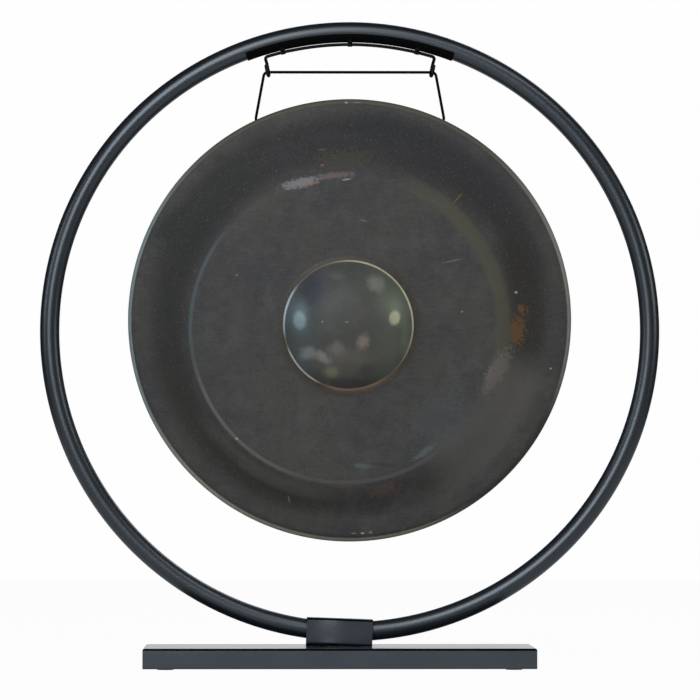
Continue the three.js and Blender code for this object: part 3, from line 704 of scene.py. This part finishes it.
coat = {"broad": 9.0, "roughness": 0.36, "roughSpread": 0.04, "gloss": 0.9, "tint": (0.80, 0.91, 1.0, 1.0)}


def hoopCoat():
    graph = Graph("powder black", {"Specular IOR Level": coat["gloss"], "Specular Tint": coat["tint"]})
    colour, rough = wandering(graph, graph.place(), coat, (0.005, 0.007, 0.011), (0.007, 0.009, 0.013))
    return graph.paint({"Base Color": colour, "Roughness": rough})


# The folds along the top of the base and of the sleeve are painted black, a painted dark reflection, and the
# top of the base is smoothest
slate = {"topLow": 0.0206, "topHigh": 0.0211, "foldLow": 0.0186, "foldHigh": 0.0205, "sleeveFold": -0.2848,
         "blur": 0.0002, "broad": 12.0, "roughness": 0.28, "roughSpread": 0.05, "topRoughness": 0.155,
         "foldMetal": 0.95, "tint": (0.90, 0.96, 1.0, 1.0)}


def slateCoat():
    graph = Graph("powder slate", {"Specular Tint": slate["tint"]})
    place = graph.place()
    x, _, z = graph.parts(place)

    def rise(value, height):
        return graph.step(value, height - slate["blur"], height + slate["blur"])

    def band(value, low, high):
        return rise(value, low) * (1 - rise(value, high))

    top = band(z, slate["topLow"], slate["topHigh"])
    height = (z - hoop["centre"]) * math.cos(lean) + x * math.sin(lean)
    # Painted dark reflection: a near-black band along the base's top folds and along the sleeve's top edge
    paintedFoldReflection = band(z, slate["foldLow"], slate["foldHigh"]).math("MAXIMUM", rise(height, slate["sleeveFold"]))
    colour, rough = wandering(graph, place, slate, (0.038, 0.047, 0.059), (0.045, 0.054, 0.066))
    return graph.paint({
        "Base Color": graph.mix(paintedFoldReflection, colour, (0.001, 0.001, 0.0015)),
        "Roughness": rough + top * (slate["topRoughness"] - slate["roughness"]),
        "Metallic": paintedFoldReflection * slate["foldMetal"],
    })


# Rubber and coated wire: black, with a fine grain in colour, roughness and height
fineCoats = {
    # gloss, scale and detail of the grain, darkest, lightest, roughness and its spread
    "rubber black": (0.08, 1400.0, 2.0, (0.0008,) * 3, (0.002,) * 3, 0.85, 0.1),
    "wire black": (0.12, 500.0, 3.0, (0.0008, 0.001, 0.0015), (0.002, 0.003, 0.005), 0.36, 0.2),
}
grainDepth = 0.00002


def fineCoat(name):
    gloss, scale, detail, darkest, lightest, roughness, spread = fineCoats[name]
    graph = Graph(name, {"Specular IOR Level": gloss})
    grain = graph.noise(graph.place(), scale, detail)
    return graph.paint({
        "Base Color": graph.mix(grain, darkest, lightest),
        "Roughness": roughness + grain * spread,
        "Normal": graph.bump(grain, grainDepth),
    })


zinc = {"bloom": 120.0, "marks": 260.0, "drawnOut": 14.0, "roughness": 0.28, "roughSpread": 0.2}


def zincPlate():
    graph = Graph("zinc steel", {"Metallic": 1.0})
    place = graph.place()
    bloom = graph.noise(place, zinc["bloom"], 4.0)
    drawn = graph.node("Mapping", {}, {"Vector": place, "Scale": (1.0, 1.0, zinc["drawnOut"])})
    return graph.paint({
        "Base Color": graph.mix(graph.step(bloom, 0.35, 0.7), (0.42, 0.43, 0.45), (0.24, 0.25, 0.26)),
        "Roughness": zinc["roughness"] + bloom * zinc["roughSpread"],
        "Normal": graph.bump(graph.noise(drawn, zinc["marks"], 2.0), grainDepth),
    })


# Braid: two sets of ribs wind round the cord in opposite directions, and the higher one shows
braid = {"pitch": 0.0016, "strands": 6, "fuzz": 2500.0, "fuzzHeight": 0.4, "depth": 0.00012,
         "roughness": 0.8, "roughSpread": 0.2}


def braidedCord():
    graph = Graph("cord black", {"Specular IOR Level": 0.08})
    u, v, _ = graph.parts(graph.surface())
    along, around = u * (2 * math.pi / braid["pitch"]), v * (2 * math.pi * braid["strands"])
    rib = (along + around).math("SINE").math("MAXIMUM", (along - around).math("SINE"))
    fuzz = graph.noise(graph.place(), braid["fuzz"], 2.0)
    return graph.paint({
        # Painted shade: the grooves between the ribs are painted darker than the rib tops
        "Base Color": graph.mix(graph.step(rib, -0.2, 1.0), (0.0005,) * 3, (0.0035,) * 3),
        "Roughness": braid["roughness"] + fuzz * braid["roughSpread"],
        "Normal": graph.bump(rib + fuzz * braid["fuzzHeight"], braid["depth"]),
    })


# Gong: dark patina laid in rings, hammered and handled, with worn metal round the boss, and painted shade and
# light on its fall and painted highlights, reflections and sheen on its ridge, rim and boss
bronze = {"gloss": 0.3, "metal": 0.15, "ringMetal": 0.4, "roughness": 0.5, "cloudRough": 0.2,
          "fallRough": 0.18, "bossRough": 0.06, "rubbedSmooth": 0.24, "cloudHeight": 1.5, "depth": 0.00009}
markEdges = {
    # where a mark starts to fade and where it ends, in half widths, and how far crumbs eat into it
    "dot": (0.5, 1.2, 0), "facet": (0.25, 1.35, 0.4), "window": (0.55, 1.15, 0.4),
    "stain": (0.55, 1.15, 4.0), "smear": (0.55, 1.15, 2.4),
}
markSizes = {"dotBelow": 2, "waveAbove": 3, "stainAbove": 5.5}
patinaSpots = {
    # x, z, half width and half height in mm, turn, colour in thousandths, strength
    "greySmear": (-49.1, 137, 20.7, 5.4, 12, (165, 162, 180), 0.9),
    "rosySmear": (-14.7, 144.3, 19.7, 3.5, 6, (126, 97, 92), 0.8),
    "smearEdge": (-38.3, 136.5, 8.9, 2.2, 10, (235, 139, 109), 0.55),
    "whiteNick": (-3.8, 140.4, 4.9, 1, 8, (262, 262, 262), 0.8),
    "rustFleckTop": (-27.4, 169.4, 4.9, 1.2, 5, (127, 65, 34), 0.6),
    "rustFleck": (-27.4, 154.2, 2.2, 1.1, 0, (262, 98, 26), 0.9),
    "oliveTop": (-4.8, 160.6, 33.5, 9.8, 4, (45, 44, 32), 0.6),
    "rimNick": (-3.8, 215.5, 1.6, 0.9, 0, (400, 400, 400), 0.8),
    "rimScratch": (7, 215.5, 4, 0.6, 0, (220, 220, 210), 0.7),
    "rimRust": (-17.6, 215, 7, 1, 2, (140, 75, 60), 0.6),
    "stroke": (13.4, 100.1, 3.9, 1, -15, (122, 127, 122), 0.7),
    "orangeScratch": (105.9, 121.9, 7.9, 0.7, 47, (205, 98, 30), 0.8),
    "paleScratch": (100.5, 60.5, 11.8, 0.6, 12, (150, 159, 150), 0.7),
    "amberDot": (109.9, 10.5, 1.3, 1, 0, (376, 150, 17), 0.95),
    "tealDot": (163.4, 29.2, 1.6, 1.4, 0, (205, 376, 402), 0.9),
    "rustStain": (164.9, -9.6, 7.9, 16.7, 0, (119, 65, 26), 0.85),
    "rustStainHead": (169.3, 12, 4.9, 5.9, 0, (125, 62, 24), 0.85),
    "rosyRidge": (144.7, -48, 8.9, 25.6, -28, (137, 118, 112), 0.75),
    "amberDotLow": (198.2, -46.5, 1.2, 1, 0, (546, 283, 45), 0.95),
    "paleDot": (-111.4, -114.7, 1.5, 1, -20, (429, 376, 305), 0.9),
    "brownDot": (-111.4, 46.4, 2, 1, 0, (205, 141, 48), 0.8),
    "darkLeft": (-178, 22.8, 6.9, 33.5, 4, (25, 25, 25), 0.7),
    "darkLowLeft": (-125.8, -126.7, 25.6, 6.9, -42, (30, 30, 28), 0.5),
    "tealStrokes": (11.9, -141.5, 9.8, 2.6, -4, (82, 112, 112), 0.65),
    "darkWedge": (32.6, -140.5, 14.8, 2.4, -6, (30, 31, 30), 0.7),
    "tealStreak": (72.9, -127.7, 14.8, 3.3, 36, (85, 122, 126), 0.65),
    "redPatch": (34.5, -166.1, 16.7, 7.9, 8, (85, 61, 49), 0.8),
    "redPatchLeft": (-7.8, -161.2, 13.8, 3.1, 0, (85, 62, 52), 0.7),
    "lowScratch": (-59.9, -175.4, 4.1, 0.7, -75, (216, 162, 98), 0.9),
    "lowNickLeft": (4.3, -209.7, 3, 0.8, 0, (188, 181, 150), 0.8),
    "lowNick": (12.9, -209.6, 2, 0.8, 0, (429, 429, 402), 0.9),
    "lowNickRight": (20.8, -208.8, 2, 1, 0, (305, 231, 188), 0.8),
    "blueCast": (88.6, -95.2, 33.5, 25.6, 40, (59, 72, 75), 0.4),
    "darkBlotch": (-174, 96, 24, 12, 38, (22, 23, 22), 0.75),
    "darkTop": (44, 188, 48, 17, -12, (18, 19, 23), 0.6),
}
# Painted reflections and sheen of the lamps and surroundings on the boss's facets and sides, as lighter
# tinted patches
paintedBossFacets = {
    "brownFloor": (-4, -40, 40, 18, 0, (112, 109, 95), 0.8),
    "purpleSide": (-37.3, 32.7, 14.8, 19.7, -30, (45, 50, 68), 0.8),
    "blueSide": (-51.1, 5.1, 12.8, 21.6, 8, (105, 145, 158), 0.7),
    "greenSide": (41.4, 20.9, 13.8, 16.7, -25, (117, 144, 114), 0.75),
    "greenEdge": (54.2, -11.6, 5.9, 23.6, 0, (135, 155, 118), 0.75),
    "greenFacet": (25.7, 38.6, 10.8, 8.4, -38, (159, 176, 144), 0.9),
    "greyFacetTop": (-13.9, 46.4, 9.3, 4.9, 0, (88, 96, 92), 0.7),
    "greyFacetLeft": (-41.7, -29.8, 8.9, 7.4, 30, (190, 215, 212), 0.85),
    "greyFacet": (-27.4, -32.8, 10.8, 5.4, -35, (225, 230, 208), 0.85),
    "brownDisc": (-13.7, -24.4, 8.9, 7.9, 0, (150, 150, 132), 0.85),
    "rosyFacet": (11.9, -18, 6.4, 8.9, -20, (211, 173, 139), 0.85),
    "brownFacet": (-1.7, -40.1, 7.9, 8.4, 0, (101, 86, 76), 0.8),
    "oliveFacet": (-18.6, -48.5, 8.4, 6.4, 0, (195, 195, 125), 0.9),
    "dimOlive": (15.8, -44.6, 9.8, 6.4, 14, (61, 63, 47), 0.7),
}
# Painted reflections of the left and right lamps' windows on the boss's sides, and two small pale dots
paintedBossWindows = {
    "blueWindow": (-49.8, 2.8, 7, 10, 4, (225, 305, 320), 0.85),
    "yellowWindow": (43.3, 5.4, 6.2, 8, -6, (360, 372, 250), 0.9),
    "dotLeft": (-27.5, 2, 1.4, 0.8, 0, (223, 231, 223), 0.8),
    "dotMiddle": (-3.8, 2, 1.6, 0.8, 0, (223, 231, 223), 0.8),
}
# Painted shade and light on the fall, darker round its top, sides and lower left and lighter at its lower
# right and in a narrow low band, and painted highlights along the shoulder's ridge and the rim's bend
shadeAndHighlightArcs = {
    # centre, radius and half width in mm, direction from +X towards +Z, half angle, colour, strength
    "fallTop": ("middle", 178, 26, 105, 62, (20, 20, 22), 0.88),
    "fallUpperRight": ("middle", 184, 20, 38, 30, (22, 22, 24), 0.85),
    "fallLeft": ("middle", 180, 20, 166, 44, (23, 23, 22), 0.78),
    "fallLowLeft": ("middle", 184, 18, 225, 34, (32, 31, 26), 0.7),
    "fallRight": ("middle", 176, 20, 6, 22, (25, 23, 20), 0.8),
    "fallLowRight": ("middle", 172, 26, -36, 24, (104, 100, 92), 0.75),
    "fallLow": ("shoulder", 165, 7, 240, 26, (98, 96, 86), 0.5),
    "ridgeRight": ("shoulder", 156, 8, 20, 46, (74, 73, 52), 0.8),
    "ridgeLeft": ("shoulder", 152, 2, 168, 26, (62, 84, 90), 0.9),
    "ridgeLowLeft": ("shoulder", 151.5, 2, 224, 30, (122, 122, 106), 0.85),
    "ridgeLow": ("shoulder", 151.5, 2.4, 278, 34, (85, 88, 83), 0.7),
    "rimLeft": ("middle", 217, 1.8, 176, 44, (250, 320, 325), 0.92),
    "rimRight": ("middle", 216.8, 2.4, 14, 34, (260, 278, 245), 0.92),
    "rimTop": ("middle", 216.5, 2, 90, 60, (110, 104, 80), 0.85),
    "rimLow": ("middle", 216.5, 2.2, 254, 44, (400, 370, 300), 0.9),
}
# Round the boss: a dark brown halo, a ring of worn metal, and painted highlights of the lamps on that ring at
# its upper right, left, lower left and bottom
bossArcs = {
    "halo": ("boss", 67.2, 4.2, 90, 180, (46, 37, 30), 0.75),
    "ring": ("boss", 63.3, 1, 90, 180, (190, 165, 125), 0.85),
    "ringGold": ("boss", 63.3, 0.9, 35, 62, (460, 460, 330), 0.95),
    "ringBlue": ("boss", 63.3, 1.1, 166, 22, (400, 480, 520), 0.9),
    "ringWhite": ("boss", 63.3, 1, 222, 20, (560, 540, 510), 0.95),
    "ringCopper": ("boss", 63.5, 1.4, 278, 26, (440, 280, 185), 0.95),
    "copperGlow": ("boss", 65, 2.4, 285, 34, (125, 85, 60), 0.6),
}


def patinaAndPaintedLight():
    graph = Graph("dark bronze", {"Specular IOR Level": bronze["gloss"]})
    place = graph.node("Mapping", {"vector_type": "TEXTURE"},
                       {"Vector": graph.place(), "Location": gong["place"], "Rotation": (tilt, 0.0, 0.0)})
    x, _, z = graph.parts(place)
    flat = graph.node("CombineXYZ", {}, {0: x, 2: z})
    front = 1 - graph.parts(graph.surface())[0]
    wander = graph.noise(flat, 90.0, 3.0)
    crumbs = graph.noise(flat, 300.0, 5.0, 0.75)
    ragged = graph.vector("MULTIPLY_ADD", graph.noise(flat, 150.0, 4.0, 0.65).output(1),
                          (0.012, 0.0, 0.009), (-0.006, 0.0, -0.0045))
    wavy = graph.vector("ADD", flat, ragged)

    centres = {"middle": (0.0, 0.0), "boss": gong["bossOffset"], "shoulder": gong["shoulderOffset"]}
    radii, towards = {}, {}
    for name, (cx, cz) in centres.items():
        offset = graph.vector("SUBTRACT", flat, (cx, 0.0, cz))
        radii[name] = graph.vector("LENGTH", offset)
        towards[name] = graph.vector("NORMALIZE", offset)

    # 1 on an ellipse of the front, falling to 0 over its crumbling edge
    def spotMask(spot, kind):
        sx, sz, halfX, halfZ, turn, _, strength = spot
        least = min(halfX, halfZ)
        if least < markSizes["dotBelow"]:
            kind = "dot"
        elif kind == "stain" and halfZ <= markSizes["stainAbove"]:
            kind = "smear"
        core, edge, crumble = markEdges[kind]
        source = wavy if least > markSizes["waveAbove"] and kind != "window" else flat
        local = graph.node("Mapping", {"vector_type": "TEXTURE"}, {
            "Vector": source, "Location": (sx * thousandth, 0.0, sz * thousandth),
            "Rotation": (0.0, -math.radians(turn), 0.0),
            "Scale": (halfX * thousandth, 1.0, halfZ * thousandth)})
        away = graph.vector("LENGTH", local)
        if crumble:
            away = away + (crumbs - 0.5) * crumble
        return (1 - graph.step(away, core, edge)) * strength

    # 1 on an arc of a ring, falling to 0 across its width and towards its two ends
    def arcMask(arc):
        centre, radius, halfWidth, direction, halfAngle, _, strength = arc
        away, wide = (radii[centre] - radius * thousandth).math("ABSOLUTE"), halfWidth * thousandth
        across = 1 - graph.step(away, wide * 0.4, wide * 1.3)
        if halfAngle >= 180:
            return across * strength
        a, half = math.radians(direction), math.radians(halfAngle)
        inLine = graph.vector("DOT_PRODUCT", towards[centre], (math.cos(a), 0.0, math.sin(a)))
        return across * graph.step(inLine, math.cos(half * 1.25), math.cos(half * 0.5)) * strength

    # A mark's colour over the colour so far, for real marks and painted light alike
    def marked(colour, mask, mark):
        return graph.mix(mask * front, colour, tuple(value * thousandth for value in mark[5]))

    # Arcs break up where the metal's wandering noise is low
    def withArcs(colour, arcs, least, spread):
        patchy = (least + wander * spread).math("MINIMUM", 1.0)
        for arc in arcs.values():
            colour = marked(colour, arcMask(arc) * patchy, arc)
        return colour

    broad = graph.noise(place, 11.0, 4.0, 0.6)
    cloud = graph.noise(place, 34.0, 6.0, 0.68)
    grain = graph.noise(place, 420.0, 4.0, 0.6)
    smoke = graph.noise(place, 60.0, 6.0, 0.75)
    speckle = graph.noise(place, 700.0, 3.0)
    drawn = graph.node("Mapping", {}, {
        "Vector": flat, "Rotation": (0.0, 0.1, 0.0), "Scale": (60.0, 1.0, 700.0)})
    strokes = graph.noise(drawn, 1.0, 4.0, 0.7, 0.4)
    colour = graph.mix(graph.step(broad, 0.38, 0.62), (0.041, 0.041, 0.043), (0.052, 0.050, 0.046))
    layers = [
        # noise, where it starts and where it is full, share, colour
        (cloud, 0.45, 0.7, 0.5, (0.078, 0.078, 0.076)),
        (smoke, 0.48, 0.68, 0.45, (0.028, 0.027, 0.031)),
        (wander, 0.5, 0.72, 0.3, (0.050, 0.052, 0.040)),
        (crumbs, 0.5, 0.7, 0.6, (0.025, 0.024, 0.025)),
        (strokes, 0.52, 0.75, 0.45, (0.088, 0.088, 0.087)),
    ]
    for source, low, high, share, layer in layers:
        colour = graph.mix(graph.step(source, low, high) * share, colour, layer)
    onBoss = (1 - graph.step(radii["boss"], 0.060, 0.066)) * front
    sideX = (x - gong["bossOffset"][0]) / gong["bossRadius"]
    # Painted sheen of the side lamps: the boss is painted lighter and bluer towards its left and lighter and
    # greener towards its right, over its patina
    bossTintAndSheen = graph.mix(graph.step(sideX, -0.75, -0.25), (0.066, 0.077, 0.081), (0.056, 0.058, 0.054))
    bossTintAndSheen = graph.mix(graph.step(sideX, 0.15, 0.75), bossTintAndSheen, (0.088, 0.101, 0.080))
    bossTintAndSheen = graph.mix(graph.step(cloud, 0.4, 0.7) * 0.4, bossTintAndSheen, (0.10, 0.10, 0.09))
    colour = withArcs(graph.mix(onBoss, colour, bossTintAndSheen), shadeAndHighlightArcs, 0.6, 0.8)
    for kind, spots in {"facet": paintedBossFacets, "window": paintedBossWindows, "stain": patinaSpots}.items():
        for spot in spots.values():
            colour = marked(colour, spotMask(spot, kind), spot)
    colour = withArcs(colour, bossArcs, 0.35, 1.1)
    colour = graph.mix(graph.step(speckle, 0.6, 0.7) * 0.5, colour, (0.12, 0.12, 0.11))

    # The boss is smoother than the shoulder, and most of all at its sides
    rubbed = onBoss * graph.step(sideX.math("ABSOLUTE"), 0.3, 0.8)
    onFall = graph.step(radii["shoulder"], 0.146, 0.156)
    rough = bronze["roughness"] + (cloud - 0.5) * bronze["cloudRough"] + onFall * bronze["fallRough"]
    return graph.paint({
        "Base Color": colour,
        "Metallic": bronze["metal"] + arcMask(bossArcs["ring"]) * front * bronze["ringMetal"],
        "Roughness": rough + onBoss * bronze["bossRough"] - rubbed * bronze["rubbedSmooth"],
        "Normal": graph.bump(grain + cloud * bronze["cloudHeight"], bronze["depth"]),
    })


finishes = {
    "powder_black": hoopCoat(), "powder_slate": slateCoat(), "rubber_black": fineCoat("rubber black"),
    "wire_black": fineCoat("wire black"), "zinc_steel": zincPlate(), "cord_black": braidedCord(),
    "dark_bronze": patinaAndPaintedLight(),
}
slotOf = {part["node"]: part["material_slot"] for part in frame["record"]["subparts"]}
for nodeName, nodeObject in frame["nodes"].items():
    for place in nodeObject.material_slots:
        place.material = finishes[slotOf[nodeName]]
for made, slot in pieceSlots:
    made.data.materials.append(finishes[slot])
print("materials made")


# Studio: a white table and backdrop, a world that is white to the camera alone, and soft lamps

studio = {"floorHalf": 1.1, "floorFront": -2.0, "backdropY": 4.6, "backdropHalf": 0.95, "backdropTop": 1.3,
          "paper": 0.6, "sky": (0.035, 0.037, 0.040, 1), "lampTarget": (0, 0, 0.33)}


# A white sheet that the camera sees evenly lit, but for the share that takes shadows.
def paper(name, corners, shadowShare, mirrored):
    white = studio["paper"]
    graph = Graph(name, {"Roughness": 0.9, "Specular IOR Level": 0.2, "Base Color": (white, white, white)})
    rays = graph.node("LightPath", {}, {}, "Is Camera Ray")
    seen = rays.math("MAXIMUM", rays.output("Is Glossy Ray") * mirrored)
    seen = seen.math("MAXIMUM", rays.output("Is Transmission Ray"))
    glow = graph.node("Emission", {}, {"Color": (1.0, 1.0, 1.0), "Strength": 1.0})
    shader = Link(graph, graph.shader.outputs[0])
    mixed = graph.node("MixShader", {}, {0: seen * (1 - shadowShare), 1: shader, 2: glow})
    graph.tree.links.new(mixed.socket, graph.tree.nodes["Material Output"].inputs["Surface"])
    mesh = bpy.data.meshes.new(name)
    mesh.from_pydata(corners, [], [(0, 1, 2, 3)])
    mesh.materials.append(graph.material)
    sheet = bpy.data.objects.new(name, mesh)
    bpy.context.scene.collection.objects.link(sheet)


w, near, far = studio["floorHalf"], studio["floorFront"], studio["backdropY"]
paper("floor", [(-w, near, 0), (w, near, 0), (w, far, 0), (-w, far, 0)], shadowShare=0.03, mirrored=0.4)
w, top = studio["backdropHalf"], studio["backdropTop"]
paper("backdrop", [(-w, far, 0), (w, far, 0), (w, far, top), (-w, far, top)],
      shadowShare=0.012, mirrored=0.8)

world = bpy.data.worlds.new("studio")
world.use_nodes = True
bpy.context.scene.world = world
nodes, links = world.node_tree.nodes, world.node_tree.links
rays, seen = nodes.new("ShaderNodeLightPath"), nodes.new("ShaderNodeMix")
seen.data_type = "RGBA"
seen.inputs[6].default_value = studio["sky"]
seen.inputs[7].default_value = (1, 1, 1, 1)
links.new(rays.outputs["Is Camera Ray"], seen.inputs[0])
links.new(seen.outputs[2], nodes["Background"].inputs["Color"])

cool = (0.97, 0.985, 1.0)
lamps = {
    # azimuth from the front towards +X, elevation, distance, width and height, power, colour
    "key": (-15, 22, 2.6, (1.0, 1.9), 42, cool),
    "high": (6, 47, 2.6, (1.6, 0.5), 8, cool),
    "highRight": (42, 45, 2.6, (0.6, 0.6), 6, cool),
    "left": (-67, 12, 2.4, (0.6, 0.9), 7, (0.86, 0.94, 1.0)),
    "back": (155, 28, 2.6, (1.2, 1.2), 9, cool),
    "right": (70, 12, 2.4, (0.6, 0.9), 8, (1.0, 1.0, 0.90)),
}
for name, (azimuth, elevation, distance, size, power, colour) in lamps.items():
    data = bpy.data.lights.new(name, "AREA")
    data.shape = "RECTANGLE"
    data.size, data.size_y = size
    data.energy = power
    data.color = colour
    lamp = bpy.data.objects.new(name, data)
    a, e = math.radians(azimuth), math.radians(elevation)
    away = Vector((math.sin(a) * math.cos(e), -math.cos(a) * math.cos(e), math.sin(e)))
    lamp.location = Vector(studio["lampTarget"]) + away * distance
    lamp.rotation_euler = (-away).to_track_quat("-Z", "Y").to_euler()
    lamp.visible_camera = False
    bpy.context.scene.collection.objects.link(lamp)
print("studio made")
